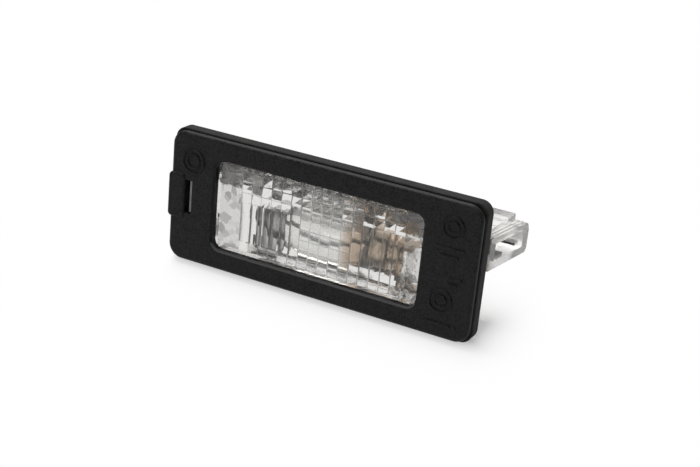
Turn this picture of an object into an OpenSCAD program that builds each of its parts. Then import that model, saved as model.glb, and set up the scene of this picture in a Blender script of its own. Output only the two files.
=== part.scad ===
// Number plate lamp with a black bezel, a clear prism housing and a festoon bulb.
// X runs along the lamp with the connector at +X, Y runs from the front face to the
// back, and Z is up. The panel face that the seal presses on lies at Y = 0.

/* [Bulb] */
// Length over the bulb's tips; the lamp's length follows from it
bulb_len = 36; // [31:0.5:42]
// Outer diameter of the glass
glass_dia = 10.5; // [9.5:0.1:11.5]
// Wall of the glass
glass_wall = 0.6; // [0.4:0.05:0.8]
// Length of the glass's rounded shoulders
glass_shoulder = 3; // [2:0.25:4]
// Diameter of the caps
cap_dia = 8.2; // [7.5:0.1:8.5]
// Length of each cap with its cone
cap_len = 8; // [7:0.25:8.5]
// Sheet thickness of the caps
cap_sheet = 0.3; // [0.2:0.05:0.4]
// Diameter of a cap's open tip
cap_tip_dia = 3; // [2.4:0.1:3.4]
// Height of the solder drop that closes a cap
solder_proud = 0.4; // [0.2:0.05:0.6]
// Length of the filament's coil
filament_len = 11; // [8:0.5:14]
// Diameter of the filament's coil
filament_dia = 0.6; // [0.4:0.1:0.8]
// Diameter of the lead wires
wire_dia = 0.4; // [0.3:0.05:0.5]

/* [Housing] */
// Wall of the clear housing
wall = 1.2; // [1:0.1:1.5]
// Room between the bulb's tip and the outside of the housing's end wall
end_room = 8.1; // [7.6:0.1:10]
// Height of the lens, which the lamp's height follows
lens_h = 21.8; // [20:0.1:28]
// Thickness of the lens plate under the prisms
lens_t = 1.7; // [1.4:0.1:2.2]
// Space between the prisms and the glass
glass_clear = 1.1; // [0.8:0.1:3]
// Space between the glass and the contact strip under it
strip_clear = 0.45; // [0.3:0.05:1]
// Space between the glass and the bay's roof
roof_clear = 1.15; // [0.8:0.05:2]
// How far the bay reaches behind the glass
bay_behind = 9.25; // [8:0.25:10]
// How much higher the bay's floor is at its back than at the lens
floor_rise = 0.1; // [0:0.05:0.6]
// Distance behind the panel face where the roof starts to slope down
roof_start = 0.5; // [0:0.25:2]
// Length of the sloping roof along Y
roof_run = 5.5; // [4:0.5:8]

/* [Prisms] */
// Pitch of the prism columns
column_pitch = 2.42; // [2:0.01:2.9]
// Height of one prism block
block_h = 2.33; // [1.8:0.01:2.6]
// Height of the small blocks under the left-hand field
small_block_h = 2.13; // [1.4:0.01:2.4]
// Depth of the prism blocks
block_depth = 0.75; // [0.4:0.05:1]
// Radius of the right-hand flutes
flute_r = 2.6; // [2:0.1:5]
// Thickness of the plain pad between the fields
pad_t = 0.25; // [0.1:0.05:0.4]
// Plain border between the window's ends and the prisms
side_border = 4.95; // [4:0.05:6]
// Plain border over the prisms
top_border = 1.95; // [1:0.05:2.5]
// Plain border under the prisms
bottom_border = 2.4; // [1.5:0.05:3.5]

/* [Bezel] */
// Thickness of the bezel's visible rim
rim_t = 1.1; // [1:0.05:1.5]
// Depth from the front face to the lens
lens_recess = 1.7; // [1.2:0.1:1.9]
// Mean lap of the bezel over the lens's ends
lens_lap_x = 1.7; // [1.2:0.1:2.2]
// Lap of the bezel over the lens's long edges
lens_lap_z = 0.85; // [0.6:0.05:1.5]
// How far the window and its prisms sit towards the release tab
window_shift = 0.6; // [0:0.1:0.8]
// Depth of the lens's seat in the bezel
seat_d = 0.6; // [0.4:0.1:0.8]
// Lap of the bezel past the ends of the panel cut-out
flange_x = 3.5; // [2.5:0.1:6]
// Lap of the bezel past the long edges of the cut-out
flange_z = 2.1; // [1.5:0.05:4]
// Radius of the bezel's corners, seen from the front
bezel_corner_r = 3.25; // [2:0.25:4]
// Rounding of the bezel's front edge
face_edge_r = 0.8; // [0.3:0.05:0.9]
// Radius of the window's corners
window_corner_r = 2.2; // [1:0.25:3]
// Width of the bevel round the window
window_bevel = 0.45; // [0.2:0.05:0.8]
// Radius of the lens's corners and of the pocket round it
lens_corner_r = 1; // [0.6:0.1:1.6]
// Gap round the lens in its pocket
lens_gap = 0.1; // [0.05:0.05:0.2]
// Wall of the collar that passes through the panel
collar_wall = 1.2; // [0.9:0.1:1.5]
// How far the collar reaches past the seal
collar_reach = 1; // [0.6:0.1:1.4]

/* [Panel cut-out] */
// Gap between the bezel's collar and the cut-out
cutout_gap = 0.3; // [0.2:0.05:0.5]
// Room for the spring between the housing's end and the cut-out's edge
spring_room = 6.4; // [6:0.1:8]

/* [Seal] */
// Thickness of the seal's full-width part
seal_t = 3; // [2.5:0.05:5]
// Width of the groove between bezel and seal
groove_w = 0.5; // [0.3:0.05:1]
// Depth of that groove
groove_d = 0.45; // [0.3:0.05:0.9]
// Rounding of the seal's outer edges
seal_edge_r = 0.3; // [0.2:0.05:0.8]
// How far the seal stands out past the bezel's edge
seal_proud = 0.3; // [0:0.05:0.5]
// Radius of the seal's corners, seen from the front
seal_corner_r = 2.6; // [2:0.1:4]
// Gap between the seal and the collar that it sits on
seal_gap = 0.1; // [0.05:0.05:0.3]

/* [Release tab and slot] */
// Height of the raised tab along Z
tab_h = 10.2; // [8:0.1:12]
// How far the tab stands out past the bezel's end
tab_overhang = 0.45; // [0.2:0.05:0.8]
// How far the tab stands in front of the face
tab_proud = 0.35; // [0.1:0.05:0.6]
// Rounding of the tab's edges
tab_edge_r = 0.5; // [0.2:0.1:0.6]
// How far the tab's back stands in front of the rim's back
tab_step = 0.2; // [0.1:0.05:0.4]
// Width of the release slot beside the tab
slot_w = 1.75; // [1.4:0.05:2]
// Gap between the spring's edges and the ends of the slot
slot_end_gap = 0.25; // [0.1:0.05:0.5]
// Height of the slot's middle above the lamp's middle
slot_z = 0.2; // [-0.5:0.05:0.5]

/* [Connector] */
// How far the connector hooks past the panel cut-out
hook_reach = 3.3; // [2:0.1:4]
// Gap behind the panel face under the hook
hook_gap = 2.1; // [2.05:0.05:3]
// Fall of the connector towards its back, per millimetre of depth
plug_slope = 0.115; // [0:0.005:0.15]
// Depth of the plug cavity along X
plug_depth = 8.5; // [7:0.25:8.6]
// Width of the plug cavity along Y
plug_w = 16.3; // [15:0.1:18]
// Height of the plug cavity
plug_h = 3.75; // [3.4:0.05:4.4]
// Floor of the plug cavity, at its front, above the bulb's axis
plug_rise = 3.9; // [3.5:0.1:4.5]
// Wall under the plug cavity
shroud_floor = 1.7; // [1:0.1:2]
// Wall over the plug cavity
shroud_roof = 1.45; // [1.2:0.05:3]
// Wall behind the plug cavity
shroud_back_wall = 3.2; // [2.4:0.1:4]
// Size of the rounding at the shroud's upper back
shroud_round = 2.6; // [1:0.1:3]
// Size of the bevel under the shroud's back
shroud_bevel = 0.9; // [0.4:0.1:2]
// Distance from the shroud's mouth to the tall block's back corner
block_setback = 3.2; // [2.4:0.1:4]
// How much further the tall block reaches at its front
block_taper = 1.6; // [1:0.2:2.2]
// Height of the tall block's top over the shroud's
block_step = 0.9; // [0.6:0.1:1.2]
// Height of the stiffening ridges on the shroud
ridge_h = 0.4; // [0.2:0.05:0.6]
// Width of a ridge
ridge_w = 0.45; // [0.3:0.05:0.6]
// Height of the two key ribs on the plug cavity's floor
key_h = 1; // [0.6:0.1:1.4]
// Width of a key rib
key_w = 0.9; // [0.6:0.1:1.2]

/* [Contacts] */
// Sheet thickness of the brass contacts
contact_t = 0.6; // [0.4:0.05:0.7]
// Width of the blades in the plug cavity
blade_w = 2; // [1.5:0.1:2.4]
// Distance between the two blades' middles
blade_pitch = 6.8; // [6.6:0.1:7.6]
// Distance from the rear blade's middle to the back of the plug cavity
blade_inset = 2.5; // [2:0.1:3]
// Height of the blades above the cavity's floor
blade_lift = 0.85; // [0.6:0.05:1.2]
// Distance of the blades' tips from the mouth
blade_setback = 0.4; // [0.3:0.1:2]
// How much further back the front blade's tip is than the rear blade's
blade_stagger = 3; // [0:0.25:4]
// Width of the ears that hold the bulb
ear_w = 6.6; // [6:0.2:7]
// How far the right-hand ear reaches below the bulb's axis
ear_drop = 4.9; // [4:0.1:5.2]
// Width of the arm that leads from the right-hand ear to its blade
arm_w = 4.4; // [4:0.1:5]
// Width of the strip that runs under the bulb
strip_w = 4; // [2.5:0.25:4.5]
// Gap between a contact and the plastic round it
contact_gap = 0.1; // [0.05:0.05:0.15]

/* [Retaining spring] */
// Sheet thickness of the retaining spring
spring_t = 0.5; // [0.4:0.05:0.6]
// Width of the spring along Z
spring_w = 7; // [6.5:0.1:7.6]
// How far the spring's nose stands past the cut-out's edge
nose_reach = 1.2; // [0.6:0.1:1.8]
// Gap between the spring's nose and the panel face
nose_gap = 2.1; // [2.05:0.05:3]
// Distance of the spring's front leg from the cut-out's edge
leg_inset = 1.5; // [1.3:0.1:2]
// Gap between the spring's front leg and the slot's side
leg_gap = 0.25; // [0.1:0.05:0.4]
// Distance of the leg's tip behind the front face
leg_setback = 0.45; // [0.2:0.05:1]
// Distance of the spring's bend behind the panel face
bend_y = 10; // [8:0.5:12]
// Radius of the bend
bend_r = 2.1; // [1.6:0.1:2.4]

/* [Hidden] */
$fn = 48;
eps = 0.01;
sink = 0.3;

// Along X, from the bulb outwards
bay_x = bulb_len / 2 + end_room;
block_start = bay_x - wall;
lens_w = 2 * bay_x;
window_w = lens_w - 2 * lens_lap_x;
pocket_w = lens_w + 2 * lens_gap;
cutout_w = lens_w + 2 * spring_room;
collar_w = cutout_w - 2 * cutout_gap;
hollow_w = collar_w - 2 * collar_wall;
bezel_w = cutout_w + 2 * flange_x;

// Along Z, from the lens outwards
window_h = lens_h - 2 * lens_lap_z;
window_x = -window_shift;
pocket_h = lens_h + 2 * lens_gap;
collar_h = pocket_h + 2 * collar_wall;
cutout_h = collar_h + 2 * cutout_gap;
bezel_h = cutout_h + 2 * flange_z;
inner_corner_r = lens_corner_r + lens_gap;
collar_corner_r = inner_corner_r + collar_wall;

// Along Y, from the panel face at 0
front_y = -(seal_t + groove_w + rim_t);
rim_back_y = front_y + rim_t;
seal_front_y = -seal_t;
lens_front_y = front_y + lens_recess;
lens_back_y = lens_front_y + lens_t;
seat_y = lens_front_y + seat_d;
glass_r = glass_dia / 2;
bulb_y = lens_back_y + block_depth + glass_clear + glass_r;
bay_depth = bulb_y + glass_r + bay_behind;
roof_y = roof_start + roof_run;

// Heights in the bay, from its floor upwards
bay_bottom = -lens_h / 2 + floor_rise;
strip_z = bay_bottom + wall + contact_gap;
bulb_z = strip_z + contact_t + strip_clear + glass_r;
bay_top = bulb_z + glass_r + roof_clear + wall;

// Prism fields, counted from the left. A tooth's low side keeps tooth_low of its depth, and a
// flute's low side stands flute_low above the lens.
tooth_low = 0.12;
flute_low = 0.15;
left_columns = 7;
small_columns = 5;
right_columns = 5;
column_count = max(left_columns + right_columns + 1, floor((window_w - 2 * side_border) / column_pitch));
first_x = window_x / 2 - column_count * column_pitch / 2;
right_x = first_x + (column_count - right_columns) * column_pitch;
plain_x = first_x + (small_columns + 1) * column_pitch;
optics_top = window_h / 2 - top_border;
blocks_z = optics_top - 2 * block_h;
small_z = blocks_z - small_block_h;
flute_bottom = -window_h / 2 + bottom_border;

// Release slot and spring
spring_leg_x = -(cutout_w / 2 - leg_inset);
slot_x = spring_leg_x + spring_t / 2 + leg_gap - slot_w;
slot_h = spring_w + 2 * slot_end_gap;
tab_w = slot_x + bezel_w / 2 + tab_overhang;
leaf_gap = 0.05;
spring_in_x = -(bay_x + spring_t / 2 + leaf_gap);
spring_out_x = -(cutout_w / 2 + nose_reach - spring_t / 2);
leaf_start = 0.5;
nose_top = nose_gap + 2.3;
nose_bulge = nose_gap + 1.6;
nose_land = nose_gap + 1;
leg_turn = nose_gap - 0.6;
nose_slant = 0.35;
nose_fall = 0.2;

// Caps and the ears that hold them
cap_r = cap_dia / 2;
tip_r = cap_tip_dia / 2;
cap_start = bulb_len / 2 - cap_len;
cone_start = cap_start + cap_len / 2;
tip_x = bulb_len / 2 - solder_proud;
solder_depth = 1;
solder_gap = 0.02;
shoulder_share = 0.72;
shoulder_r = cap_r * shoulder_share;
shoulder_edge = 0.3;
glass_gap = 0.1;
wire_gap = 0.02;
glass_in_cap = 1.5;
neck_r = cap_r - cap_sheet - glass_gap;
ear_x = (cone_start + tip_x) / 2;
ear_fit = 0.05;
ear_hole_r = shoulder_r + (tip_r - shoulder_r) * (ear_x - cone_start) / (tip_x - cone_start) + ear_fit;
ear_low = bulb_z - ear_drop;

// Connector: heights are those at the hook, where its slope starts
riser_setback = 2.4;
strip_behind = 0.4;
blade_offset = 0.3;
arm_straight = 4;
arm_slant = 2;
arm_step = 1;
block_corner = 0.4;
mouth_x = cutout_w / 2 + hook_reach;
cavity_x = mouth_x - plug_depth;
block_x = mouth_x - block_setback;
blade_tip_x = mouth_x - blade_setback;
riser_x = block_start - riser_setback;
strip_y = bulb_y + ear_w / 2 + strip_behind;
blade_front_y = strip_y + strip_w / 2 + blade_offset;
blade_back_y = blade_front_y + blade_pitch;
plug_back = blade_back_y + blade_inset;
plug_y = plug_back - plug_w;
shroud_back = plug_back + shroud_back_wall;
plug_z = bulb_z + plug_rise + plug_slope * (plug_y - hook_gap);
shroud_bottom = plug_z - shroud_floor;
shroud_top = plug_z + plug_h + shroud_roof;
block_top = shroud_top + block_step;
front_blade_z = fall(plug_z, blade_front_y) + blade_lift;
rear_blade_z = fall(plug_z, blade_back_y) + blade_lift;
ear_top = rear_blade_z + contact_t;
arm_end = ear_x + arm_w;
arm_bend = bulb_y + ear_w / 2 + arm_straight;

// Height at y of a face of the connector that is at height z at the hook.
function fall(z, y) = z - plug_slope * (y - hook_gap);

// Outline helpers

module rounded_rect(w, h, r) {
    square([w - 2 * r, h], center = true);
    square([w, h - 2 * r], center = true);
    for (x = [-1, 1], z = [-1, 1])
        translate([x * (w / 2 - r), z * (h / 2 - r)])
            circle(r);
}

module along_x(x0, x1) {
    translate([x0, 0, 0])
        rotate([90, 0, 90])
            linear_extrude(x1 - x0)
                children();
}

module along_y(y0, y1) {
    translate([0, y1, 0])
        rotate([90, 0, 0])
            linear_extrude(y1 - y0)
                children();
}

module along_z(z0, z1) {
    translate([0, 0, z0])
        linear_extrude(z1 - z0)
            children();
}

// A plate with round corners whose edge has the section given as the child: the section's x
// runs outwards from the corner's centre and its y runs from the plate's front to its back.
module swept_plate(w, h, r, t) {
    for (x = [-1, 1], z = [-1, 1])
        translate([x * (w / 2 - r), 0, z * (h / 2 - r)])
            rotate([-90, 0, 0])
                rotate_extrude()
                    children();
    for (side = [0, 1])
        mirror([side, 0, 0])
            along_z(-(h / 2 - r), h / 2 - r)
                translate([w / 2 - r, 0])
                    children();
    for (side = [0, 1])
        mirror([0, 0, side])
            along_x(-(w / 2 - r), w / 2 - r)
                translate([0, h / 2 - r])
                    mirror([1, -1, 0])
                        children();
    translate([-(w / 2 - r), 0, -(h / 2 - r)])
        cube([w - 2 * r, t, h - 2 * r]);
}

// Edge section with its front corner rounded, and its back corner too if back_e is given.
module round_section(r, t, e, back_e = 0) {
    intersection() {
        square([r, t]);
        union() {
            square([r - e, t - back_e]);
            translate([0, e])
                square([r, t - e - back_e]);
            translate([r - e, e])
                circle(e);
            if (back_e > 0) {
                square([r - back_e, t]);
                translate([r - back_e, t - back_e])
                    circle(back_e);
            }
        }
    }
}

// Edge section that widens towards the front by b.
module bevel_section(r, t, b) {
    polygon([[0, 0], [r + b, 0], [r, b], [r, t], [0, t]]);
}

// Bezel

module release_tab() {
    tab_t = rim_t + tab_proud - tab_step;
    translate([slot_x - tab_w / 2, front_y - tab_proud, 0])
        swept_plate(tab_w, tab_h, 2 * tab_edge_r, tab_t)
            round_section(2 * tab_edge_r, tab_t, tab_edge_r);
}

module window() {
    translate([window_x, front_y - eps, 0])
        swept_plate(window_w, window_h, window_corner_r, lens_recess + 2 * eps)
            bevel_section(window_corner_r, lens_recess + 2 * eps, window_bevel);
}

module bezel() {
    color("#2b2b2b")
        difference() {
            union() {
                translate([0, front_y, 0])
                    swept_plate(bezel_w, bezel_h, bezel_corner_r, rim_t)
                        round_section(bezel_corner_r, rim_t, face_edge_r);
                release_tab();
                along_y(rim_back_y - eps, seal_front_y)
                    rounded_rect(bezel_w - 2 * groove_d, bezel_h - 2 * groove_d, bezel_corner_r - groove_d);
                along_y(seal_front_y - eps, collar_reach)
                    rounded_rect(collar_w, collar_h, collar_corner_r);
            }
            window();
            along_y(lens_front_y, seat_y + eps)
                rounded_rect(pocket_w, pocket_h, inner_corner_r);
            along_y(seat_y, collar_reach + eps)
                rounded_rect(hollow_w, pocket_h, inner_corner_r);
            along_y(front_y - tab_proud - eps, seat_y + eps)
                translate([slot_x, slot_z - slot_h / 2])
                    square([slot_w, slot_h]);
            along_y(seal_front_y, collar_reach + eps)
                translate([-collar_w / 2 - eps, slot_z - slot_h / 2])
                    square([collar_wall + 2 * eps, slot_h]);
        }
}

// Seal

module panel_seal() {
    seal_w = bezel_w + 2 * seal_proud;
    seal_h = bezel_h + 2 * seal_proud;
    hole_w = collar_w + 2 * seal_gap;
    hole_h = collar_h + 2 * seal_gap;
    color("#1c1c1c")
        difference() {
            translate([0, seal_front_y, 0])
                swept_plate(seal_w, seal_h, seal_corner_r, seal_t)
                    round_section(seal_corner_r, seal_t, seal_edge_r, seal_edge_r);
            along_y(seal_front_y - eps, eps)
                rounded_rect(hole_w, hole_h, collar_corner_r + seal_gap);
        }
}

// Lens optics

// A row of teeth that rise along x over each pitch.
module saw_outline(count, pitch, depth) {
    for (i = [0:count - 1])
        translate([i * pitch, 0])
            polygon([[0, -sink], [pitch, -sink], [pitch, depth], [0, depth * tooth_low]]);
}

// A row of round-backed flutes.
module flute_outline(count, pitch, r) {
    rise = r - sqrt(r * r - pitch * pitch / 4);
    for (i = [0:count - 1])
        translate([(i + 0.5) * pitch, 0])
            intersection() {
                translate([0, flute_low + rise - r])
                    circle(r);
                translate([-pitch / 2, -sink])
                    square([pitch, sink + r]);
            }
}

// Rows of teeth of the given heights above a flat part, drawn up from z.
module row_outline(z, flat_h, flat_depth, heights) {
    tops = [for (i = [0:len(heights)]) flat_h + sum_to(heights, i)];
    polygon(concat(
        [[z, -sink], [z, flat_depth]],
        [for (i = [0:len(heights) - 1])
            each [[z + tops[i], i == 0 ? flat_depth : block_depth], [z + tops[i], block_depth * tooth_low]]],
        [[z + tops[len(heights)], block_depth], [z + tops[len(heights)], -sink]]
    ));
}

function sum_to(list, n) = n == 0 ? 0 : list[n - 1] + sum_to(list, n - 1);

// A field of columns crossed by rows: flutes below, and blocks above whose ridge runs from
// corner to corner, because each is the lower of two slopes.
module prism_field(x, columns, z, flat_h, flat_depth, heights) {
    top = z + flat_h + sum_to(heights, len(heights));
    intersection() {
        along_z(z, top)
            translate([x, lens_back_y])
                saw_outline(columns, column_pitch, block_depth);
        along_x(x, x + columns * column_pitch)
            translate([lens_back_y, 0])
                mirror([1, -1, 0])
                    row_outline(z, flat_h, flat_depth, heights);
    }
}

module lens_optics() {
    last_x = first_x + small_columns * column_pitch;
    prism_field(
        first_x, small_columns, flute_bottom, small_z - flute_bottom, block_depth,
        [blocks_z - small_z, block_h, block_h]
    );
    prism_field(last_x, 1, flute_bottom, blocks_z - flute_bottom, block_depth, [block_h, block_h]);
    prism_field(last_x + column_pitch, 1, blocks_z - sink, sink, 0, [block_h, block_h]);
    prism_field(right_x, right_columns, blocks_z - sink, sink, 0, [block_h, block_h]);
    along_z(flute_bottom, blocks_z)
        translate([right_x, lens_back_y])
            flute_outline(right_columns, column_pitch, flute_r);
    along_y(lens_back_y - sink, lens_back_y + pad_t)
        translate([plain_x, flute_bottom])
            square([right_x - plain_x, blocks_z - flute_bottom]);
    along_y(lens_back_y - sink, lens_back_y + pad_t / 2)
        translate([plain_x + column_pitch, blocks_z - eps])
            square([right_x - plain_x - column_pitch, 2 * block_h]);
}

// Housing

// Side view of the lens chamber and bulb bay, drawn in Y and Z, inset by the given wall.
module bay_outline(inset, back) {
    half = lens_h / 2;
    polygon([
        [lens_front_y, -half + inset],
        [back, bay_bottom + inset],
        [back, bay_top - inset],
        [roof_y - inset / 2, bay_top - inset],
        [roof_start - inset / 2, half - inset],
        [lens_front_y, half - inset]
    ]);
}

module bay_shell() {
    difference() {
        intersection() {
            along_x(-bay_x, bay_x)
                bay_outline(0, bay_depth);
            along_y(lens_front_y, bay_depth)
                rounded_rect(lens_w, lens_h, inner_corner_r);
        }
        intersection() {
            along_x(-bay_x + wall, bay_x - wall)
                bay_outline(wall, bay_depth + eps);
            along_y(lens_back_y, bay_depth + eps)
                square([lens_w, lens_h], center = true);
        }
    }
}

// End view of the connector shroud, drawn in Y and Z.
module shroud_outline() {
    round_y = shroud_back - shroud_round;
    round_z = fall(shroud_top, round_y) - shroud_round;
    polygon(concat(
        [
            [hook_gap, shroud_bottom],
            [hook_gap, shroud_top],
            [round_y, fall(shroud_top, round_y)]
        ],
        [for (a = [75:-15:0])
            [round_y + shroud_round * cos(a), round_z + shroud_round * sin(a)]],
        [
            [shroud_back, fall(shroud_bottom, shroud_back) + shroud_bevel],
            [shroud_back - shroud_bevel, fall(shroud_bottom, shroud_back - shroud_bevel)]
        ]
    ));
}

// The plug cavity, drawn in Y and Z. Two key ribs stand on its floor near the front.
module plug_outline() {
    key_y = plug_y + 2 * key_w;
    difference() {
        polygon([
            [plug_y, fall(plug_z, plug_y)],
            [plug_y, fall(plug_z + plug_h, plug_y)],
            [plug_back, fall(plug_z + plug_h, plug_back)],
            [plug_back, fall(plug_z, plug_back)]
        ]);
        for (y = [key_y, key_y + 2 * key_w])
            translate([y, fall(plug_z, y) - key_h])
                square([key_w, 2 * key_h]);
    }
}

module tall_block() {
    intersection() {
        along_x(block_start, block_x + block_taper)
            polygon([
                [hook_gap, shroud_bottom],
                [hook_gap, block_top],
                [shroud_back, fall(block_top, shroud_back)],
                [shroud_back, fall(shroud_bottom, shroud_back) + shroud_bevel],
                [shroud_back - shroud_bevel, fall(shroud_bottom, shroud_back - shroud_bevel)]
            ]);
        along_z(fall(shroud_bottom, shroud_back), block_top)
            polygon([
                [block_start, hook_gap],
                [block_x + block_taper, hook_gap],
                [block_x, shroud_back - block_corner],
                [block_x - block_corner, shroud_back],
                [block_start, shroud_back]
            ]);
    }
}

// Ridges that run along the shroud's top from the hook to where its back rounds off.
module shroud_ridges() {
    ridge_end = shroud_back - shroud_round;
    for (i = [1, 2])
        along_x(mouth_x - 2 * i * ridge_w, mouth_x - (2 * i - 1) * ridge_w)
            polygon([
                [hook_gap, shroud_top - sink],
                [hook_gap, shroud_top + ridge_h],
                [ridge_end - ridge_h, fall(shroud_top, ridge_end - ridge_h) + ridge_h],
                [ridge_end, fall(shroud_top, ridge_end)],
                [ridge_end, fall(shroud_top, ridge_end) - sink]
            ]);
}

// Slot for one blade in the wall behind the plug cavity.
module blade_slot(y, z) {
    along_x(block_start - eps, cavity_x + eps)
        translate([y, z + contact_t / 2])
            square([blade_w + 2 * contact_gap, contact_t + 2 * contact_gap], center = true);
}

// Guide rails that hold the spring's inner leaf on the housing's end wall.
module spring_rails() {
    rail_t = 1;
    rail_y = 1;
    rail_len = 8;
    lip = 0.6;
    spring_play = 0.15;
    rail_gap = 0.1;
    lip_x = bay_x + spring_t + spring_play;
    for (side = [-1, 1])
        translate([0, 0, slot_z])
            scale([1, 1, side])
                along_y(rail_y, rail_y + rail_len) {
                    translate([-lip_x - rail_t, spring_w / 2 + rail_gap])
                        square([lip_x + rail_t - bay_x + wall / 2, rail_t]);
                    translate([-lip_x - rail_t, spring_w / 2 + rail_gap - lip])
                        square([rail_t, lip + rail_t]);
                }
}

// Posts that stand on the bay's floor: one under the short contact's arm, one behind each ear.
module contact_posts() {
    post_t = 1.4;
    post_edge = 0.2;
    post_rise = 1.4;
    floor_z = bay_bottom + wall / 2;
    arm_post_d = 3.5;
    along_z(floor_z, rear_blade_z - contact_gap)
        translate([arm_end - post_t - post_edge, strip_y - contact_gap - arm_post_d])
            square([post_t, arm_post_d]);
    for (side = [0, 1])
        mirror([side, 0, 0])
            along_z(floor_z - wall / 2, ear_low + post_rise)
                translate([ear_x + contact_t + contact_gap, bulb_y - ear_w / 2])
                    square([post_t - post_edge, ear_w]);
}

module lens_housing() {
    color("#e8ecee", 0.5)
        difference() {
            union() {
                bay_shell();
                lens_optics();
                tall_block();
                along_x(block_start, mouth_x)
                    shroud_outline();
                shroud_ridges();
                spring_rails();
                contact_posts();
            }
            along_x(cavity_x, mouth_x + eps)
                plug_outline();
            blade_slot(blade_front_y, front_blade_z);
            blade_slot(blade_back_y, rear_blade_z);
        }
}

// Contacts

// The ear is a plate across X with a hole that the bulb's cone sits in.
module ear(x, bottom) {
    difference() {
        along_x(x, x + contact_t)
            translate([bulb_y - ear_w / 2, bottom])
                square([ear_w, ear_top - bottom]);
        along_x(x - eps, x + contact_t + eps)
            translate([bulb_y, bulb_z])
                circle(ear_hole_r);
    }
}

module contact_short() {
    color("#b08d4c") {
        ear(ear_x, ear_low);
        along_z(rear_blade_z, rear_blade_z + contact_t)
            polygon([
                [ear_x, bulb_y - ear_w / 2],
                [arm_end, bulb_y - ear_w / 2],
                [arm_end, arm_bend],
                [arm_end + arm_step + arm_slant, blade_back_y - blade_w / 2],
                [blade_tip_x, blade_back_y - blade_w / 2],
                [blade_tip_x, blade_back_y + blade_w / 2],
                [arm_end + arm_step, blade_back_y + blade_w / 2],
                [ear_x, arm_bend + arm_step]
            ]);
    }
}

module contact_long() {
    color("#b08d4c") {
        ear(-ear_x - contact_t, strip_z);
        along_z(strip_z, strip_z + contact_t) {
            translate([-ear_x - contact_t, bulb_y - ear_w / 2])
                square([contact_t + strip_w, strip_y + strip_w - bulb_y + ear_w / 2]);
            translate([-ear_x - contact_t, strip_y])
                square([riser_x + contact_t + ear_x + contact_t, strip_w]);
        }
        along_x(riser_x, riser_x + contact_t)
            translate([blade_front_y - blade_w / 2, strip_z])
                square([blade_w, front_blade_z + contact_t - strip_z]);
        along_z(front_blade_z, front_blade_z + contact_t)
            translate([riser_x, blade_front_y - blade_w / 2])
                square([blade_tip_x - blade_stagger - riser_x, blade_w]);
    }
}

// Retaining spring

function unit(v) = v / norm(v);
function normal(v) = [-v[1], v[0]];
function miter(a, b) = unit(normal(a) + normal(b)) / (unit(normal(a) + normal(b)) * normal(a));
function side_points(path, d) = [
    for (i = [0:len(path) - 1])
        let (
            before = unit(path[max(i, 1)] - path[max(i, 1) - 1]),
            after = unit(path[min(i, len(path) - 2) + 1] - path[min(i, len(path) - 2)])
        )
        path[i] + d * miter(before, after)
];

module retaining_spring() {
    bend_mid = spring_in_x - bend_r;
    path = concat(
        [[spring_in_x, leaf_start]],
        [for (a = [0:15:180]) [bend_mid + bend_r * cos(a), bend_y + bend_r * sin(a)]],
        [
            [spring_out_x + nose_slant, nose_top],
            [spring_out_x, nose_bulge],
            [spring_out_x + nose_fall, nose_land],
            [spring_leg_x, leg_turn],
            [spring_leg_x, front_y + leg_setback]
        ]
    );
    color("#9a9a98")
        along_z(slot_z - spring_w / 2, slot_z + spring_w / 2)
            polygon(concat(
                side_points(path, spring_t / 2),
                [for (i = [len(path) - 1:-1:0]) side_points(path, -spring_t / 2)[i]]
            ));
}

// Bulb

module on_bulb_axis() {
    translate([0, bulb_y, bulb_z])
        rotate([0, 90, 0])
            children();
}

// Outline of half the glass or of its hollow, from the axis to the middle of its length.
function glass_half(inset) =
    let (
        r = glass_r - inset,
        neck = neck_r - inset,
        end = cap_start + glass_in_cap - inset,
        start = cap_start - glass_shoulder,
        run = glass_shoulder - glass_gap
    )
    concat(
        [[inset > 0 ? 0 : wire_dia / 2 + wire_gap, end], [neck, end]],
        [for (a = [90:-15:0]) [neck + (r - neck) * cos(a), start + run * sin(a)]]
    );

module glass_outline(inset) {
    half = glass_half(inset);
    polygon(concat(half, [for (i = [len(half) - 1:-1:0]) [half[i][0], -half[i][1]]]));
}

module bulb_glass() {
    color("#dfe6ea", 0.5)
        on_bulb_axis()
            rotate_extrude()
                difference() {
                    glass_outline(0);
                    glass_outline(glass_wall);
                }
}

module cap() {
    s = cap_sheet;
    e = shoulder_edge;
    rotate_extrude()
        polygon([
            [cap_r - s, cap_start],
            [cap_r, cap_start],
            [cap_r, cone_start - 2 * e],
            [cap_r - e, cone_start - e],
            [shoulder_r, cone_start],
            [tip_r, tip_x],
            [tip_r - s, tip_x],
            [shoulder_r - s, cone_start - s],
            [cap_r - e - s, cone_start - e - s],
            [cap_r - s, cone_start - 2 * e - s]
        ]);
}

module bulb_cap_left() {
    color("#c8b68c")
        on_bulb_axis()
            mirror([0, 0, 1])
                cap();
}

module bulb_cap_right() {
    color("#c8b68c")
        on_bulb_axis()
            cap();
}

module solder_tips() {
    color("#b9bcc0")
        on_bulb_axis()
            for (side = [0, 1])
                mirror([0, 0, side])
                    translate([0, 0, tip_x - solder_depth])
                        cylinder(h = bulb_len / 2 - tip_x + solder_depth, r = tip_r - cap_sheet - solder_gap);
}

module filament() {
    color("#6f6f70")
        on_bulb_axis()
            cylinder(h = filament_len, d = filament_dia, center = true);
}

module lead_wires() {
    color("#a8a8a8")
        on_bulb_axis()
            for (side = [0, 1])
                mirror([0, 0, side])
                    translate([0, 0, filament_len / 2])
                        cylinder(h = tip_x - solder_depth - filament_len / 2, d = wire_dia);
}

bezel();
panel_seal();
lens_housing();
contact_long();
contact_short();
retaining_spring();
bulb_glass();
bulb_cap_left();
bulb_cap_right();
solder_tips();
filament();
lead_wires();
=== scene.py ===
import math

import bpy
import numpy as np
from mathutils import Matrix, Vector


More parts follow.
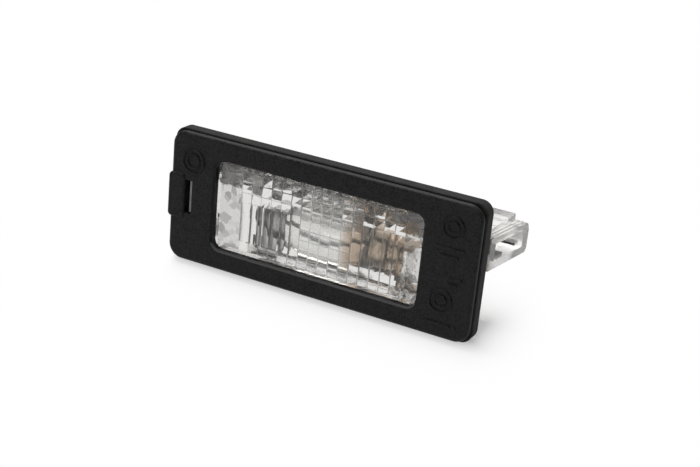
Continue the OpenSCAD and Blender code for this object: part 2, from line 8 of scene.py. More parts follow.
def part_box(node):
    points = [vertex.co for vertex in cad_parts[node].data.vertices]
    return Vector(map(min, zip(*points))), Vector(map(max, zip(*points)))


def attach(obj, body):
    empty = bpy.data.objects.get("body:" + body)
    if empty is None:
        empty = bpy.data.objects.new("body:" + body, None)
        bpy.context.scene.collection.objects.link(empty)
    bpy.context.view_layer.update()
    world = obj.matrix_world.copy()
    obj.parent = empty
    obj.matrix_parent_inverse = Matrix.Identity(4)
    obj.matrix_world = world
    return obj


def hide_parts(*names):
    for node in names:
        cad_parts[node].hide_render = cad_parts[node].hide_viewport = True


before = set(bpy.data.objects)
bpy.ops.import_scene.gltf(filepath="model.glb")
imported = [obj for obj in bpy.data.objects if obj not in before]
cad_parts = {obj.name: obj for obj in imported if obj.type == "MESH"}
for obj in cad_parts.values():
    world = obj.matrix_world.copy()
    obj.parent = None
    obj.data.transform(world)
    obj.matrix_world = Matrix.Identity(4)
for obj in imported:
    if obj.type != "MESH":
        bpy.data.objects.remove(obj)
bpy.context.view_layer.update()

# Camera. A long lens from the front right and above, at the place and turn worked out from the
# photograph's own perspective. The lamp leans back on its housing, so the lamp's own axes are
# tilted against the picture, and the floor further down is tilted with them.
MM = 0.001
LENS_MM = 68.177
SENSOR_MM = 36
NEAR_MM = 10
CAMERA_AT = (117.502, -229.412, 99.113)
CAMERA_RIGHT = (0.878859, 0.467984, 0.092721)
CAMERA_DOWN = (0.246858, -0.27977, -0.927787)
CAMERA_FORWARD = (-0.408249, 0.838283, -0.361405)

camera_data = bpy.data.cameras.new("camera")
camera_data.lens = LENS_MM
camera_data.sensor_width = SENSOR_MM
camera_data.clip_start = NEAR_MM * MM
camera = bpy.data.objects.new("camera", camera_data)
turn = Matrix([
    (CAMERA_RIGHT[i], -CAMERA_DOWN[i], -CAMERA_FORWARD[i]) for i in range(3)
])
camera.matrix_world = Matrix.Translation(Vector(CAMERA_AT) * MM) @ turn.to_4x4()
bpy.context.scene.collection.objects.link(camera)
bpy.context.scene.camera = camera


# Bezel. The black frame is moulded in glass-filled plastic with a fine spark-eroded grain, and its
# collar clips round the lens housing. The slope under the window carries a painted highlight, a
# lighter grey in its colour. The CAD solid keeps its shape and gets the moulded finish.
BLACK = (0.0004, 0.0004, 0.0005)
BLACK_WORN = (0.02, 0.02, 0.0202)
BLACK_SPECULAR = 0.14
# Painted highlight: the colour laid on the slope under the window.
SLOPE_HIGHLIGHT = (0.075, 0.075, 0.076)
SLOPE_X_MM = (-25.7, 24.5)
SLOPE_Y_MM = (-4.57, -4.1)
SLOPE_Z_MM = (-10.7, -8.8)
# The noise seldom leaves this range, which is spread over 0 to 1.
TONE_RANGE = (0.35, 0.65)
# The Mix node's two inputs and its output, for numbers and for colours.
MIX_SLOTS = {"FLOAT": (2, 3, 0), "RGBA": (6, 7, 2)}


def new_material(name):
    """An empty node material with one Principled shader on its output: (material, shader)."""
    material = bpy.data.materials.new(name)
    material.use_nodes = True
    tree = material.node_tree
    tree.nodes.clear()
    output = tree.nodes.new("ShaderNodeOutputMaterial")
    shader = tree.nodes.new("ShaderNodeBsdfPrincipled")
    tree.links.new(shader.outputs["BSDF"], output.inputs["Surface"])
    return material, shader


def feed(value, socket):
    """Sets an input: a link from another node's output, a colour's red, green and blue, or a
    number."""
    if isinstance(value, bpy.types.NodeSocket):
        value.id_data.links.new(value, socket)
    elif isinstance(value, tuple):
        socket.default_value = (*value, 1)
    else:
        socket.default_value = value


def math_node(operation, *values):
    """One Math node on outputs and plain numbers, in the tree that the outputs are in: its own
    output."""
    tree = next(value for value in values if isinstance(value, bpy.types.NodeSocket)).id_data
    node = tree.nodes.new("ShaderNodeMath")
    node.operation = operation
    for value, socket in zip(values, node.inputs):
        feed(value, socket)
    return node.outputs[0]


def rescale(value, given, wanted, soft=False):
    """Carries a value from one range to another, by a straight line or a smooth step, and holds it
    at the ends."""
    node = value.id_data.nodes.new("ShaderNodeMapRange")
    node.interpolation_type = "SMOOTHSTEP" if soft else "LINEAR"
    for end, name in zip((*given, *wanted), ("From Min", "From Max", "To Min", "To Max")):
        feed(end, node.inputs[name])
    feed(value, node.inputs["Value"])
    return node.outputs["Result"]


def mix_node(kind, factor, first, second):
    """One Mix node: the first number or colour where the factor is 0, the second where it is 1."""
    node = factor.id_data.nodes.new("ShaderNodeMix")
    node.data_type = kind
    first_slot, second_slot, result_slot = MIX_SLOTS[kind]
    feed(factor, node.inputs["Factor"])
    feed(first, node.inputs[first_slot])
    feed(second, node.inputs[second_slot])
    return node.outputs[result_slot]


def bump_node(height, strength, height_mm):
    """One Bump node, which raises the surface by the given millimetres where the height is 1."""
    node = height.id_data.nodes.new("ShaderNodeBump")
    node.inputs["Distance"].default_value = height_mm * MM
    feed(strength, node.inputs["Strength"])
    feed(height, node.inputs["Height"])
    return node


def object_place(tree):
    """The place on the piece, in the object's own metres."""
    return tree.nodes.new("ShaderNodeTexCoord").outputs["Object"]


def object_axes(tree):
    """The place on the piece as x, y and z."""
    axes = tree.nodes.new("ShaderNodeSeparateXYZ")
    feed(object_place(tree), axes.inputs["Vector"])
    return axes.outputs["X"], axes.outputs["Y"], axes.outputs["Z"]


def within(value, low_mm, high_mm):
    """1 between two places on an axis, 0 outside."""
    above = math_node("GREATER_THAN", value, low_mm * MM)
    return math_node("MULTIPLY", above, math_node("LESS_THAN", value, high_mm * MM))


def new_group(name, inputs, outputs):
    """An empty shader node group with named numbers in and out: (group, inputs, outputs)."""
    group = bpy.data.node_groups.new(name, "ShaderNodeTree")
    for way, names in (("INPUT", inputs), ("OUTPUT", outputs)):
        for socket_name in names:
            group.interface.new_socket(socket_name, in_out=way, socket_type="NodeSocketFloat")
    given = group.nodes.new("NodeGroupInput").outputs
    return group, given, group.nodes.new("NodeGroupOutput").inputs


def place_group(tree, group, *values):
    """Places a node group in a material, with its own values in the order of the group's inputs."""
    node = tree.nodes.new("ShaderNodeGroup")
    node.node_tree = group
    for value, socket in zip(values, node.inputs):
        feed(value, socket)
    return node


def grain_group():
    """The shared surface effect: fine bumps at one size and faint blotches at another, both in
    millimetres on object coordinates. Height is the fine noise, and Tone is the fine noise with
    the blotches mixed in by their share, from 0 to 1 round a middle of 0.5."""
    group, given, out = new_group(
        "moulded grain", ("Fine size", "Blotch size", "Blotch share"), ("Height", "Tone"))
    place = object_place(group)

    def noise(size, detail):
        texture = group.nodes.new("ShaderNodeTexNoise")
        feed(place, texture.inputs["Vector"])
        feed(math_node("DIVIDE", 1 / MM, size), texture.inputs["Scale"])
        feed(detail, texture.inputs["Detail"])
        return texture.outputs["Fac"]

    fine = noise(given["Fine size"], detail=3)
    blotches = noise(given["Blotch size"], detail=4)
    feed(fine, out["Height"])
    feed(mix_node("FLOAT", given["Blotch share"], fine, blotches), out["Tone"])
    return group


GRAIN = grain_group()


def grained(shader, fine_mm, blotch_mm, blotch_share, colours, roughness, bump, bump_mm):
    """Feeds one shader from the grain. As the tone rises, the colour goes from the first to the
    second and so does the roughness, and the grain's height is a bump of the given strength."""
    grain = place_group(shader.id_data, GRAIN, fine_mm, blotch_mm, blotch_share)
    tone = rescale(grain.outputs["Tone"], TONE_RANGE, (0, 1))
    relief = bump_node(grain.outputs["Height"], bump, bump_mm)
    feed(mix_node("RGBA", tone, *colours), shader.inputs["Base Color"])
    feed(rescale(tone, (0, 1), roughness), shader.inputs["Roughness"])
    feed(relief.outputs["Normal"], shader.inputs["Normal"])


def finish_node(name, material):
    """Puts a material on a CAD node."""
    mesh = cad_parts[name].data
    mesh.materials.clear()
    mesh.materials.append(material)


black_plastic, shader = new_material("grained black plastic")
shader.inputs["Specular IOR Level"].default_value = BLACK_SPECULAR
grained(
    shader, fine_mm=0.42, blotch_mm=1.6, blotch_share=0.3, colours=(BLACK, BLACK_WORN),
    roughness=(0.34, 0.56), bump=1.0, bump_mm=0.07)
x, y, z = object_axes(shader.id_data)
# Painted highlight: the slope under the window is coloured a lighter grey.
slope = math_node("MULTIPLY", within(y, *SLOPE_Y_MM), math_node(
    "MULTIPLY", within(x, *SLOPE_X_MM), within(z, *SLOPE_Z_MM)))
black = shader.inputs["Base Color"].links[0].from_socket
feed(mix_node("RGBA", slope, black, SLOPE_HIGHLIGHT), shader.inputs["Base Color"])
finish_node("bezel", black_plastic)


# Raised marks. The mould leaves plain rings and short bars standing a third of a millimetre proud
# of the bezel's face, beside the window and over the release tab. Same plastic as the bezel.
FACE_MM = -4.6
MARK_PROUD = 0.3
RING_WIRE = 0.26
RING_STEPS = 56
RING_WIRE_STEPS = 12
RINGS = [
    # centre x, centre z, radius
    (-30.45, 8.44, 2.6), (-30.45, 8.44, 1.5),
    (30.1, 9.24, 2.2), (30.1, 9.24, 1.15),
    (29.2, -6.55, 2.4), (29.2, -6.55, 1.25)
]
BARS = [
    # left x, right x, middle z
    (26.9, 33.2, 4.75), (27.9, 32.0, 3.1), (30.4, 33.3, -1.4), (30.4, 32.5, -2.6),
    (25.9, 32.0, -11.5), (32.6, 33.3, -11.5)
]
BAR_HIGH = 0.62
BAR_SUNK = 0.5
BAR_TOP = 0.3
BAR_STEPS = 32
BAR_RISE_STEPS = 9


def grid_mesh(points, wrap_u, wrap_v):
    """Vertices and quads of a grid of points with rows along u and columns along v. A wrapped side
    joins its last row or column to its first."""
    rows, columns = points.shape[:2]
    index = np.arange(rows * columns).reshape(rows, columns)
    if wrap_u:
        index = np.vstack([index, index[:1]])
    if wrap_v:
        index = np.hstack([index, index[:, :1]])
    quads = np.stack([index[:-1, :-1], index[1:, :-1], index[1:, 1:], index[:-1, 1:]], axis=-1)
    return points.reshape(-1, 3), quads.reshape(-1, 4)


def ring_surface(x, z, radius):
    """A low round bead on the face: the circle of the given radius, swept by an ellipse that is the
    wire's width across and stands the mark's height proud."""
    u = np.linspace(0, 2 * np.pi, RING_STEPS, endpoint=False)[:, None]
    v = np.linspace(0, 2 * np.pi, RING_WIRE_STEPS, endpoint=False)[None, :]
    across = radius + RING_WIRE * np.cos(v)
    out = MARK_PROUD * np.sin(v) + 0 * u
    points = np.stack([x + across * np.cos(u), FACE_MM - out, z + across * np.sin(u)], axis=-1)
    return grid_mesh(points, True, True)


def bar_surface(left, right, z):
    """A low bar with round ends: a stadium outline, drawn in towards its middle line as it rises,
    so that its height over the face follows an ellipse, from a foot sunk in the face to the top.
    The foot and the top are each closed by one face."""
    half = BAR_HIGH / 2
    u = np.linspace(0, 2 * np.pi, BAR_STEPS, endpoint=False)[:, None]
    v = np.linspace(-BAR_SUNK, 1, BAR_RISE_STEPS)[None, :] * np.pi / 2
    shrink = np.cos(v) * (1 - BAR_TOP) + BAR_TOP
    run = (right - left) / 2 - half
    x = (left + right) / 2 + run * np.sign(np.cos(u)) * np.ones_like(v) + half * np.cos(u) * shrink
    height = z + half * np.sin(u) * shrink
    depth = FACE_MM - MARK_PROUD * np.sin(v) + 0 * u
    vertices, quads = grid_mesh(np.stack([x, depth, height], axis=-1), True, False)
    foot = np.arange(BAR_STEPS) * BAR_RISE_STEPS
    top = foot + BAR_RISE_STEPS - 1
    return vertices, quads.tolist() + [foot[::-1].tolist(), top.tolist()]


def new_piece(name, parts, material):
    """One object from a list of (vertices in millimetres, faces), set at the origin in metres, with
    outward faces, its material, and its ride on the lamp's one body."""
    vertices, faces, start = [], [], 0
    for part_vertices, part_faces in parts:
        vertices.append(part_vertices)
        faces += [[start + int(i) for i in face] for face in part_faces]
        start += len(part_vertices)
    mesh = bpy.data.meshes.new(name)
    mesh.from_pydata((np.vstack(vertices) * MM).tolist(), [], faces)
    mesh.materials.append(material)
    mesh.polygons.foreach_set("use_smooth", [True] * len(mesh.polygons))
    piece = bpy.data.objects.new(name, mesh)
    bpy.context.scene.collection.objects.link(piece)
    bpy.context.view_layer.objects.active = piece
    piece.select_set(True)
    bpy.ops.object.mode_set(mode="EDIT")
    bpy.ops.mesh.select_all(action="SELECT")
    bpy.ops.mesh.normals_make_consistent(inside=False)
    bpy.ops.object.mode_set(mode="OBJECT")
    piece.select_set(False)
    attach(piece, "root")
    return piece


marks = [ring_surface(*ring) for ring in RINGS] + [bar_surface(*bar) for bar in BARS]
new_piece("bezel_marks", marks, black_plastic)


# Panel seal. A soft rubber ring stretched over the bezel's collar, darker and duller than the
# bezel, with a faint dusty bloom.
RUBBER = (0.006, 0.006, 0.0062)
RUBBER_BLOOM = (0.03, 0.0298, 0.029)
RUBBER_SPECULAR = 0.16

seal_rubber, shader = new_material("seal rubber")
shader.inputs["Specular IOR Level"].default_value = RUBBER_SPECULAR
grained(
    shader, fine_mm=0.5, blotch_mm=3.0, blotch_share=0.5, colours=(RUBBER, RUBBER_BLOOM),
    roughness=(0.7, 0.92), bump=0.4, bump_mm=0.03)
finish_node("panel_seal", seal_rubber)


# Lens housing. One clear moulding: the lens is polished, with rounded seams between its prisms and
# borders beside them that carry painted shade in patches, the bulb bay has faint flow marks inside,
# and the connector has the matt finish of its mould.
CLEAR = (0.735, 0.725, 0.708)
CLEAR_PALE = (0.995, 0.988, 0.97)
CLEAR_IOR = 1.49
CLEAR_ROUGHNESS = (0.01, 0.08)
MATT_FROM_MM = 27.0
MATT_TO_MM = 30.0
MATT_ROUGHNESS = 0.27
MATT_CALM = 0.85
FLOW_FINE_MM = 1.4
FLOW_BLOTCH_MM = 5
FLOW_BLOTCH_SHARE = 0.6
FLOW_STRENGTH = (0.06, 0.3)
FLOW_HIGH_MM = 0.45
POLISHED_TO_MM = -0.4
ROUGH_FROM_MM = 0.8
PRISM_Y_MM = (-1.3, -0.35)
FIELD_X_MM = (-19.66, 19.06)
PLAIN_X_MM = (-5.14, 6.96)
COLUMN_MM = 2.42
BLOCKS_FROM_MM = 3.44
BLOCK_MM = 2.33
CUSHION_HIGH_MM = 0.9
SEAM_SHARE = 0.07
SEAM_ROUGHNESS = 0.55
BORDER_FLOW = 0.6
# Painted shade: a near-black colour laid on the lens's borders in patches.
BORDER_SHADE = (0.05, 0.049, 0.047)
BORDER_LEAST = 0.35
BORDER_PATCH_MM = 1.5


def cell_place(value, start_mm, pitch_mm):
    """Counts the cells of a row of prisms along one axis: (place within the cell, cell number)."""
    cells = math_node("DIVIDE", math_node("SUBTRACT", value, start_mm * MM), pitch_mm * MM)
    return math_node("FRACT", cells), math_node("FLOOR", cells)


def near_edge(place):
    """1 in the seam at either side of a cell, 0 across its face."""
    from_middle = math_node("ABSOLUTE", math_node("SUBTRACT", place, 0.5))
    return math_node("GREATER_THAN", from_middle, 0.5 - SEAM_SHARE)


def border_patches(tree):
    """A number from BORDER_LEAST to 1 drawn for each patch of the lens's borders. The patches are
    the cells nearest to points strewn at the given size."""
    strewn = tree.nodes.new("ShaderNodeTexVoronoi")
    strewn.inputs["Scale"].default_value = 1 / (BORDER_PATCH_MM * MM)
    feed(object_place(tree), strewn.inputs["Vector"])
    drawn = tree.nodes.new("ShaderNodeSeparateColor")
    feed(strewn.outputs["Color"], drawn.inputs["Color"])
    return math_node("MAXIMUM", drawn.outputs["Red"], BORDER_LEAST)


def facet_height(u, v, column, row, blocks, in_rows):
    """How each prism's face is cushioned over the CAD model's flat facets. With u and v the place
    within a column and a row, and a, b two numbers from -0.5 to 0.5 drawn for each prism, the face
    rises as a u, with b v added where there are rows, min(u, v) on the blocks, and 2 u (1 - u) on
    the flutes, which have no rows."""
    tree = column.id_data
    cell = tree.nodes.new("ShaderNodeCombineXYZ")
    feed(column, cell.inputs["X"])
    feed(math_node("MULTIPLY", row, in_rows), cell.inputs["Y"])
    draw = tree.nodes.new("ShaderNodeTexWhiteNoise")
    feed(cell.outputs["Vector"], draw.inputs["Vector"])
    lean = tree.nodes.new("ShaderNodeSeparateColor")
    feed(draw.outputs["Color"], lean.inputs["Color"])
    lean_u = math_node("MULTIPLY", math_node("SUBTRACT", lean.outputs["Red"], 0.5), u)
    lean_v = math_node("MULTIPLY", math_node("SUBTRACT", lean.outputs["Green"], 0.5), v)
    saw = math_node("MULTIPLY", math_node("MINIMUM", u, v), blocks)
    crown = math_node("MULTIPLY", math_node("MULTIPLY", u, math_node("SUBTRACT", 1, u)), 2)
    flutes = math_node("MULTIPLY", crown, math_node("SUBTRACT", 1, in_rows))
    face = math_node("ADD", saw, flutes)
    lean_both = math_node("ADD", lean_u, math_node("MULTIPLY", lean_v, in_rows))
    return math_node("ADD", face, lean_both)


clear_plastic, shader = new_material("clear plastic")
tree = shader.id_data
shader.inputs["Transmission Weight"].default_value = 1
shader.inputs["IOR"].default_value = CLEAR_IOR
x, y, z = object_axes(tree)

# Where each finish lies: the matt connector, the lens's back, its prisms and its borders.
matt = rescale(x, (MATT_FROM_MM * MM, MATT_TO_MM * MM), (0, 1), soft=True)
lens_back = within(y, *PRISM_Y_MM)
in_field = within(x, *FIELD_X_MM)
on_prisms = math_node("MULTIPLY", lens_back, in_field)
border = math_node("MULTIPLY", lens_back, math_node("SUBTRACT", 1, in_field))
blocks = math_node("GREATER_THAN", z, BLOCKS_FROM_MM * MM)
in_rows = math_node("MAXIMUM", blocks, within(x, *PLAIN_X_MM))
u, column = cell_place(x, FIELD_X_MM[0], COLUMN_MM)
v, row = cell_place(z, BLOCKS_FROM_MM, BLOCK_MM)
seam = math_node("MULTIPLY", on_prisms, math_node(
    "MAXIMUM", near_edge(u), math_node("MULTIPLY", near_edge(v), in_rows)))

# Colour: clear, with painted shade patch by patch at the borders, and paler where it is matt.
border_shade = math_node("MULTIPLY", border_patches(tree), border)
clear = mix_node("RGBA", border_shade, CLEAR, BORDER_SHADE)
feed(mix_node("RGBA", matt, clear, CLEAR_PALE), shader.inputs["Base Color"])

# Roughness: polished, matt on the connector, and rounded off along the prisms' seams.
grain = place_group(tree, GRAIN, FLOW_FINE_MM, FLOW_BLOTCH_MM, FLOW_BLOTCH_SHARE)
gloss = rescale(grain.outputs["Tone"], (0, 1), CLEAR_ROUGHNESS)
finish = mix_node("FLOAT", matt, gloss, MATT_ROUGHNESS)
feed(mix_node("FLOAT", seam, finish, SEAM_ROUGHNESS), shader.inputs["Roughness"])

# Relief: flow marks behind the lens and on its borders, and the prisms' cushioned faces.
inside = rescale(y, (POLISHED_TO_MM * MM, ROUGH_FROM_MM * MM), FLOW_STRENGTH)
calm = math_node("SUBTRACT", 1, math_node("MULTIPLY", matt, MATT_CALM))
strength = math_node(
    "MAXIMUM", math_node("MULTIPLY", inside, calm), math_node("MULTIPLY", border, BORDER_FLOW))
flow = bump_node(grain.outputs["Height"], strength, FLOW_HIGH_MM)
facets = math_node("MULTIPLY", facet_height(u, v, column, row, blocks, in_rows), on_prisms)
cushion = bump_node(facets, 1, CUSHION_HIGH_MM)
feed(flow.outputs["Normal"], cushion.inputs["Normal"])
feed(cushion.outputs["Normal"], shader.inputs["Normal"])
finish_node("lens_housing", clear_plastic)


# Retaining spring. A strip of stainless steel, rolled, then bent round the housing's end. The
# rolling and the bending leave it slightly uneven in tone and gloss.
STEEL = (0.1, 0.1, 0.098)
STEEL_BRIGHT = (0.2, 0.2, 0.195)

spring_steel, shader = new_material("spring steel")
shader.inputs["Metallic"].default_value = 1
grained(
    shader, fine_mm=0.18, blotch_mm=2.4, blotch_share=0.5, colours=(STEEL, STEEL_BRIGHT),
    roughness=(0.22, 0.4), bump=0.25, bump_mm=0.01)
finish_node("retaining_spring", spring_steel)


# Contacts. Stamped from brass sheet and tinned, but for the stretch beside the right-hand cap,
# which keeps the brass's warm tone under a thin film of tarnish.
BRASS = (0.5, 0.37, 0.24)
BRASS_TARNISHED = (0.36, 0.26, 0.17)
TIN = (0.5, 0.5, 0.505)
BARE_BRASS_MM = (8, 15, 26)


def span_group():
    """A mask along the lamp's length, in object coordinates: 0 before From, a straight rise to 1 at
    To, and 0 again past Back."""
    group, given, out = new_group("span along the lamp", ("From", "To", "Back"), ("Mask",))
    along_lamp = object_axes(group)[0]
    rise = rescale(along_lamp, (given["From"], given["To"]), (0, 1))
    before = math_node("LESS_THAN", along_lamp, given["Back"])
    feed(math_node("MULTIPLY", rise, before), out["Mask"])
    return group


SPAN = span_group()


def span_mask(tree, from_mm, to_mm, back_mm):
    """The span's mask in one material."""
    return place_group(tree, SPAN, from_mm * MM, to_mm * MM, back_mm * MM).outputs["Mask"]


def plated(shader, grey, bare_mm):
    """Turns a metal's grained colour to the given grey outside its bare span."""
    bare = shader.inputs["Base Color"].links[0].from_socket
    mask = span_mask(shader.id_data, *bare_mm)
    feed(mix_node("RGBA", mask, grey, bare), shader.inputs["Base Color"])


brass, shader = new_material("contact brass")
shader.inputs["Metallic"].default_value = 1
grained(
    shader, fine_mm=0.3, blotch_mm=3.0, blotch_share=0.7, colours=(BRASS, BRASS_TARNISHED),
    roughness=(0.24, 0.44), bump=0.2, bump_mm=0.01)
plated(shader, TIN, BARE_BRASS_MM)
finish_node("contact_long", brass)
finish_node("contact_short", brass)


# Bulb glass. A drawn tube of thin clear glass, closed at both ends round the lead wires. The glass
# is tinted a faint brown beside the right-hand cap.
GLASS_IOR = 1.5
GLASS = (0.95, 0.955, 0.95)
GLASS_BROWN = (0.66, 0.55, 0.45)
GLASS_BROWN_MM = (3.5, 6.5, 40)
GLASS_FINE_MM = 2.2
GLASS_BLOTCH_MM = 4
GLASS_BLOTCH_SHARE = 0.35
GLASS_ROUGHNESS = (0.0, 0.16)

glass, shader = new_material("bulb glass")
tree = shader.id_data
shader.inputs["Transmission Weight"].default_value = 1
shader.inputs["IOR"].default_value = GLASS_IOR
brown_span = span_mask(tree, *GLASS_BROWN_MM)
feed(mix_node("RGBA", brown_span, GLASS, GLASS_BROWN), shader.inputs["Base Color"])
haze = place_group(tree, GRAIN, GLASS_FINE_MM, GLASS_BLOTCH_MM, GLASS_BLOTCH_SHARE)
feed(rescale(haze.outputs["Tone"], (0, 1), GLASS_ROUGHNESS), shader.inputs["Roughness"])
finish_node("bulb_glass", glass)


# Bulb caps. Drawn from thin brass sheet and nickelled. The left-hand one is still grey, and the
# right-hand one has gone brown with heat.
CAP = (0.66, 0.51, 0.38)
CAP_SCUFFED = (0.78, 0.66, 0.53)
CAP_NICKEL = (0.6, 0.6, 0.61)
CAP_BROWN_MM = (-4, 4, 40)

cap_metal, shader = new_material("cap metal")
shader.inputs["Metallic"].default_value = 1
grained(
    shader, fine_mm=0.25, blotch_mm=1.8, blotch_share=0.6, colours=(CAP, CAP_SCUFFED),
    roughness=(0.2, 0.38), bump=0.2, bump_mm=0.01)
plated(shader, CAP_NICKEL, CAP_BROWN_MM)
finish_node("bulb_cap_left", cap_metal)
finish_node("bulb_cap_right", cap_metal)


# Solder. A drop closes each cap's tip over its lead wire. It sets dull grey and slightly uneven,
# brighter where it has been touched.
SOLDER = (0.42, 0.42, 0.43)
SOLDER_BRIGHT = (0.6, 0.6, 0.61)

solder_metal, shader = new_material("solder")
shader.inputs["Metallic"].default_value = 1
grained(
    shader, fine_mm=0.5, blotch_mm=1.2, blotch_share=0.5, colours=(SOLDER, SOLDER_BRIGHT),
    roughness=(0.3, 0.5), bump=0.5, bump_mm=0.03)
finish_node("solder_tips", solder_metal)


# Filament. Tungsten wire wound into a fine coil on the bulb's axis, sagging a little between its
# two lead wires. It stands for the CAD model's plain rod.
low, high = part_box("filament")
COIL_FROM = low[0] / MM
COIL_TO = high[0] / MM
COIL_Y = (low[1] + high[1]) / 2 / MM
COIL_Z = (low[2] + high[2]) / 2 / MM
COIL_R = 0.23
COIL_WIRE_R = 0.055
COIL_TURNS = 40
COIL_TURN_STEPS = 12
COIL_WIRE_STEPS = 6
COIL_SAG = 0.12
TUNGSTEN = (0.16, 0.16, 0.165)
TUNGSTEN_BRIGHT = (0.3, 0.3, 0.3)

tungsten, shader = new_material("tungsten")
shader.inputs["Metallic"].default_value = 1
grained(
    shader, fine_mm=0.1, blotch_mm=0.8, blotch_share=0.5, colours=(TUNGSTEN, TUNGSTEN_BRIGHT),
    roughness=(0.3, 0.5), bump=0.2, bump_mm=0.005)


def coil_surface():
    """A wire round a helix on the bulb's axis. The helix turns evenly along x, its middle hangs
    down by the sag in a parabola, and each ring of the wire stands across the helix's tangent."""
    t = np.linspace(0, 1, COIL_TURNS * COIL_TURN_STEPS + 1)
    angle = 2 * np.pi * COIL_TURNS * t
    x = COIL_FROM + COIL_WIRE_R + (COIL_TO - COIL_FROM - 2 * COIL_WIRE_R) * t
    y = COIL_Y + COIL_R * np.cos(angle)
    z = COIL_Z + COIL_R * np.sin(angle) - COIL_SAG * 4 * t * (1 - t)
    path = np.stack([x, y, z], axis=-1)
    tangent = np.gradient(path, axis=0)
    tangent /= np.linalg.norm(tangent, axis=1, keepdims=True)
    side = np.cross(tangent, [1.0, 0.0, 0.0])
    side /= np.linalg.norm(side, axis=1, keepdims=True)
    top = np.cross(tangent, side)
    v = np.linspace(0, 2 * np.pi, COIL_WIRE_STEPS, endpoint=False)[None, :, None]
    points = path[:, None] + COIL_WIRE_R * (np.cos(v) * side[:, None] + np.sin(v) * top[:, None])
    vertices, quads = grid_mesh(points, False, True)
    first_end = np.arange(COIL_WIRE_STEPS)[::-1]
    last_end = np.arange(len(vertices) - COIL_WIRE_STEPS, len(vertices))
    return vertices, quads.tolist() + [first_end.tolist(), last_end.tolist()]


coil = new_piece("filament_coil", [coil_surface()], tungsten)
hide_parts("filament")


# Lead wires. Plain nickel wire, pinched into the glass's ends, which carries the filament. Drawing
# leaves it bright and almost even.
NICKEL = (0.4, 0.39, 0.37)
NICKEL_BRIGHT = (0.55, 0.54, 0.52)

lead_metal, shader = new_material("lead wire")
shader.inputs["Metallic"].default_value = 1
grained(
    shader, fine_mm=0.12, blotch_mm=1.0, blotch_share=0.5, colours=(NICKEL, NICKEL_BRIGHT),
    roughness=(0.25, 0.4), bump=0.2, bump_mm=0.005)
finish_node("lead_wires", lead_metal)


# Floor. A white sheet of board, which the lamp rests on with the seal's lower edge and the back of
# the bulb bay. In the lamp's own axes it rises towards the back, because the lamp leans. Round the
# seal's edge the board's glow fades, a painted contact shadow laid over the real one, and further
# out the board looks plain white.
FLOOR_SLOPE = math.radians(11.22)
FLOOR_HALF = 3.0
SEAL_EDGE_MM = (0, -0.3, -14.6)
SEAL_EDGE_R_MM = 0.3
BOARD_WHITE = (0.9, 0.9, 0.9)
BOARD_ROUGHNESS = 0.9
BOARD_SPECULAR = 0.1
FOOT_MIDDLE_MM = (0, 3)
FOOT_HALF_MM = (35.5, 3.3)
SHADOW_DEPTH = 0.8
SHADOW_REACH_MM = 4

up = Vector((0, -math.sin(FLOOR_SLOPE), math.cos(FLOOR_SLOPE)))
along = Vector((0, math.cos(FLOOR_SLOPE), math.sin(FLOOR_SLOPE)))
touch = (Vector(SEAL_EDGE_MM) - up * SEAL_EDGE_R_MM) * MM
corners = [
    touch + Vector((right * FLOOR_HALF, 0, 0)) + along * (back * FLOOR_HALF)
    for right, back in ((-1, -1), (1, -1), (1, 1), (-1, 1))
]
floor_mesh = bpy.data.meshes.new("floor")
floor_mesh.from_pydata([tuple(corner) for corner in corners], [], [(0, 1, 2, 3)])
floor = bpy.data.objects.new("floor", floor_mesh)
bpy.context.scene.collection.objects.link(floor)


def seen_ray(tree):
    """1 for rays from the camera, in gloss and through glass, and 0 for the rays that light the
    lamp."""
    rays = tree.nodes.new("ShaderNodeLightPath").outputs
    bent = math_node("MAXIMUM", rays["Is Glossy Ray"], rays["Is Transmission Ray"])
    return math_node("MAXIMUM", rays["Is Camera Ray"], bent)


def clear_of_foot(tree):
    """How far the board's white has come back beside the lamp's foot, a narrow rectangle round the
    seal's lower edge: 1 - depth * exp(-d / reach), with d the distance to the rectangle. Below 1 it
    paints a contact shadow."""
    away = []
    for axis, middle, half in zip(object_axes(tree), FOOT_MIDDLE_MM, FOOT_HALF_MM):
        offset = math_node("SUBTRACT", axis, middle * MM)
        past = math_node("SUBTRACT", math_node("ABSOLUTE", offset), half * MM)
        away.append(math_node("POWER", math_node("MAXIMUM", past, 0), 2))
    distance = math_node("SQRT", math_node("ADD", *away))
    fall = math_node("EXPONENT", math_node("DIVIDE", distance, -SHADOW_REACH_MM * MM))
    return math_node("SUBTRACT", 1, math_node("MULTIPLY", fall, SHADOW_DEPTH))


def mix_shaders(factor, first, second, output):
    """Sends the first shader to the output where the factor is 0, the second where it is 1."""
    node = factor.id_data.nodes.new("ShaderNodeMixShader")
    feed(factor, node.inputs["Fac"])
    feed(first, node.inputs[1])
    feed(second, node.inputs[2])
    feed(node.outputs["Shader"], output.inputs["Surface"])


board, shader = new_material("white board")
tree = shader.id_data
feed(BOARD_WHITE, shader.inputs["Base Color"])
shader.inputs["Roughness"].default_value = BOARD_ROUGHNESS
shader.inputs["Specular IOR Level"].default_value = BOARD_SPECULAR
glow = tree.nodes.new("ShaderNodeEmission")
# Painted contact shadow: the glow fades near the seal's edge, and the real shadow shows through.
plain_white = math_node("MULTIPLY", seen_ray(tree), clear_of_foot(tree))
board_output = shader.outputs["BSDF"].links[0].to_node
mix_shaders(plain_white, shader.outputs["BSDF"], glow.outputs["Emission"], board_output)
floor_mesh.materials.append(board)


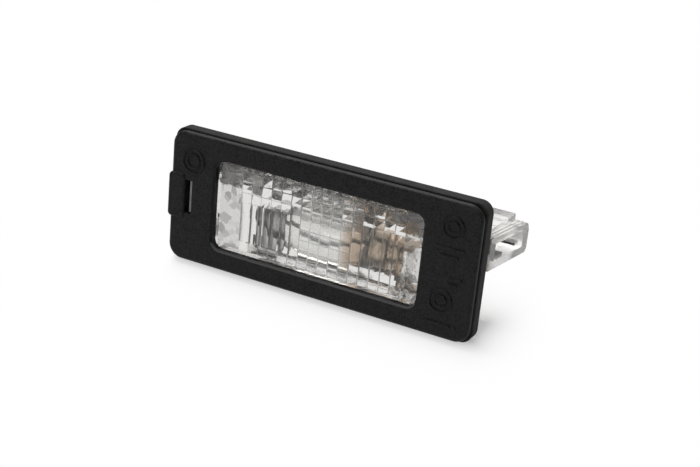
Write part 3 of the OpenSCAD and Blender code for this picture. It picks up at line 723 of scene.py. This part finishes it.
# Studio light. A soft white tent that is brightest over and behind the lamp and to its left, with
# one broad lamp overhead. Past the floor the camera sees plain white, and so do gloss and glass,
# but for a dark panel at either side that gives the clear plastic its edges.
TENT_BRIGHT_SIDE = (-0.5, 0.5, 0.75)
TENT_TURN = (-0.75, 0.65)
TENT_LEVEL = (0.16, 1.05)
FOLD_SCALE = 4
FOLD_DETAIL = 2
FOLD_RANGE = (0.42, 0.58)
FOLD_LEVEL = (0.4, 1.6)
PANEL_RANGE = (0.45, 0.75)
PANEL_LEVEL = (1, 0.15)
WHITE = (1, 1, 1)
LAMP_AT = (-0.22, 0.1, 0.55)
LAMP_SIZE = (0.5, 0.4)
LAMP_WATTS = 3.2

world = bpy.data.worlds.new("studio")
bpy.context.scene.world = world
world.use_nodes = True
tree = world.node_tree
tree.nodes.clear()
direction = tree.nodes.new("ShaderNodeTexCoord").outputs["Generated"]

facing = tree.nodes.new("ShaderNodeVectorMath")
facing.operation = "DOT_PRODUCT"
facing.inputs[1].default_value = Vector(TENT_BRIGHT_SIDE).normalized()
feed(direction, facing.inputs[0])
level = rescale(facing.outputs["Value"], TENT_TURN, TENT_LEVEL, soft=True)
folds = tree.nodes.new("ShaderNodeTexNoise")
folds.inputs["Scale"].default_value = FOLD_SCALE
folds.inputs["Detail"].default_value = FOLD_DETAIL
feed(direction, folds.inputs["Vector"])
fold_level = rescale(folds.outputs["Fac"], FOLD_RANGE, FOLD_LEVEL)
tent = tree.nodes.new("ShaderNodeBackground")
feed(math_node("MULTIPLY", level, fold_level), tent.inputs["Strength"])

sideways = tree.nodes.new("ShaderNodeSeparateXYZ")
feed(direction, sideways.inputs["Vector"])
to_side = math_node("ABSOLUTE", sideways.outputs["X"])
panels = rescale(to_side, PANEL_RANGE, PANEL_LEVEL, soft=True)
from_camera = tree.nodes.new("ShaderNodeLightPath").outputs["Is Camera Ray"]
backdrop = tree.nodes.new("ShaderNodeBackground")
feed(WHITE, backdrop.inputs["Color"])
feed(math_node("MAXIMUM", panels, from_camera), backdrop.inputs["Strength"])
world_output = tree.nodes.new("ShaderNodeOutputWorld")
mix_shaders(
    seen_ray(tree), tent.outputs["Background"], backdrop.outputs["Background"], world_output)

lamp_data = bpy.data.lights.new("overhead", "AREA")
lamp_data.shape = "RECTANGLE"
lamp_data.size, lamp_data.size_y = LAMP_SIZE
lamp_data.energy = LAMP_WATTS
lamp = bpy.data.objects.new("overhead", lamp_data)
lamp_place = Vector(LAMP_AT)
lamp_turn = (-lamp_place).to_track_quat("-Z", "Y").to_matrix().to_4x4()
lamp.matrix_world = Matrix.Translation(lamp_place) @ lamp_turn
bpy.context.scene.collection.objects.link(lamp)

bpy.context.scene.view_settings.view_transform = "Standard"
